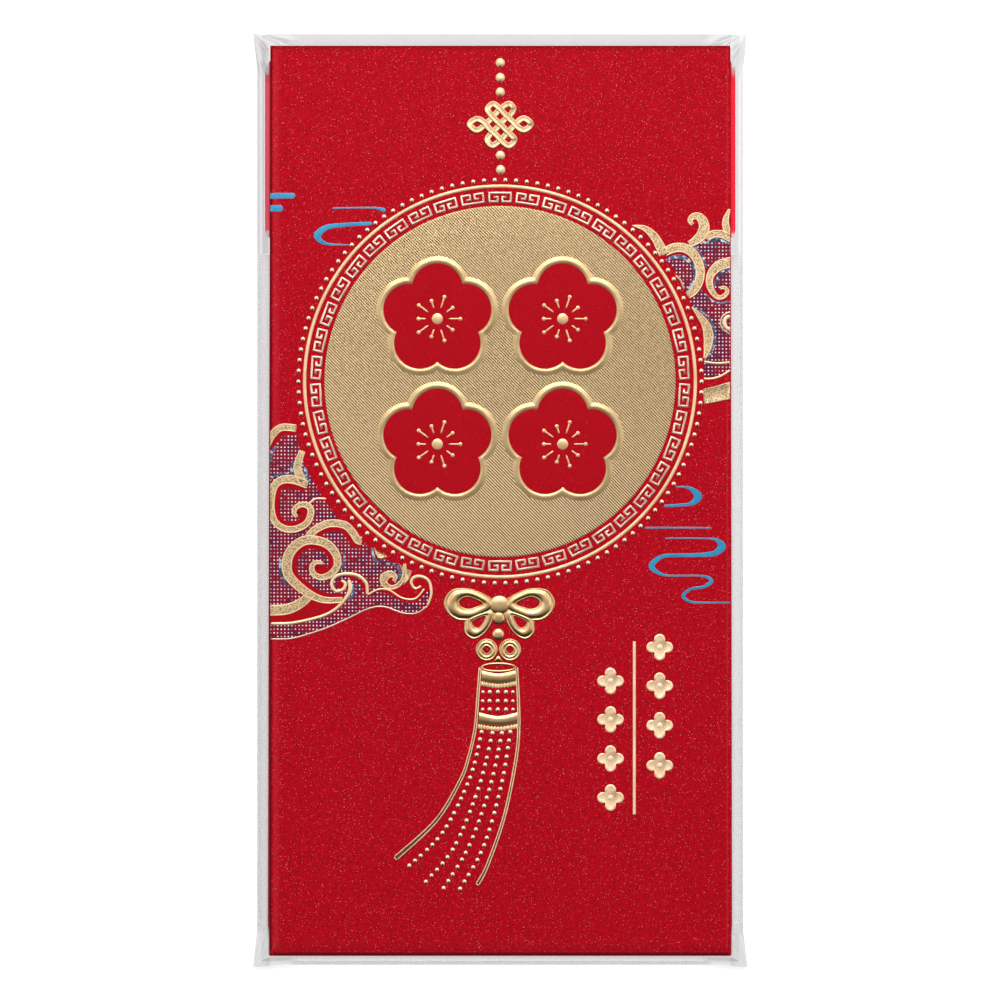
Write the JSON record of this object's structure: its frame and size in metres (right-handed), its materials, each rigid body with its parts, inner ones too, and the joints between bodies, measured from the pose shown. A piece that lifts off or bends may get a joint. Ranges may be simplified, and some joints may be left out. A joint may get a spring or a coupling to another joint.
{
  "type": "red gift envelope",
  "caption": "Tall red gift envelope for unfolded banknotes, with a hinged top flap, foil medallion, knot and tassel relief, in a clear film sleeve that slides off.",
  "frame": {"origin": "centre of the outer face of the sleeve's back, on the surface that the envelope lies on", "axes": "+X across the face to the viewer's right, +Y along the face towards the flap crease, +Z out of the printed face"},
  "size_m": [0.0924, 0.1748, 0.0024],
  "materials": {
    "red_paper": "pearl",
    "glue": "dry glue",
    "gold_foil": "stamped metallic foil",
    "silver_foil": "stamped metallic foil",
    "blue_foil": "stamped metallic foil",
    "red_foil": "stamped metallic foil",
    "clear_film": "clear gloss",
    "film_weld": "hazy weld"
  },
  "bodies": {
    "envelope": {"front_panel": "red_paper", "back_panel": "red_paper", "left_fold": "red_paper", "right_fold": "red_paper", "side_glue_tab": "red_paper", "bottom_fold": "red_paper", "bottom_tab": "red_paper", "top_crease": "red_paper", "side_glue_line": "glue", "bottom_glue_line": "glue", "medallion_disc": "gold_foil", "medallion_ring": "gold_foil", "bead_ring": "gold_foil", "blossom_rims": "gold_foil", "blossom_eyes": "gold_foil", "string_beads": "gold_foil", "endless_knot": "gold_foil", "bow": "gold_foil", "tassel_ball": "gold_foil", "tassel_rings": "gold_foil", "tassel_cap": "gold_foil", "tassel_lines": "gold_foil", "tassel_beads": "gold_foil", "column_line": "gold_foil", "column_florets": "gold_foil", "left_cloud": "gold_foil", "right_cloud": "gold_foil", "fret_ring": "silver_foil", "left_waves": "blue_foil", "right_waves": "blue_foil", "blossom_fills": "red_foil"},
    "flap": {"top_flap": "red_paper"},
    "sleeve": {"sleeve_front_film": "clear_film", "sleeve_back_film": "clear_film", "sleeve_side_welds": "film_weld", "sleeve_bottom_weld": "film_weld"}
  },
  "joints": [
    {"name": "flap_hinge", "type": "hinge", "parent": "envelope", "child": "flap", "pos_m": [0, 0.08425, 0.00095], "axis": [1, 0, 0], "range_deg": [0, 180]},
    {"name": "sleeve_slide", "type": "slide", "parent": "envelope", "child": "sleeve", "axis": [0, -1, 0], "range_m": [0, 0.18]}
  ]
}
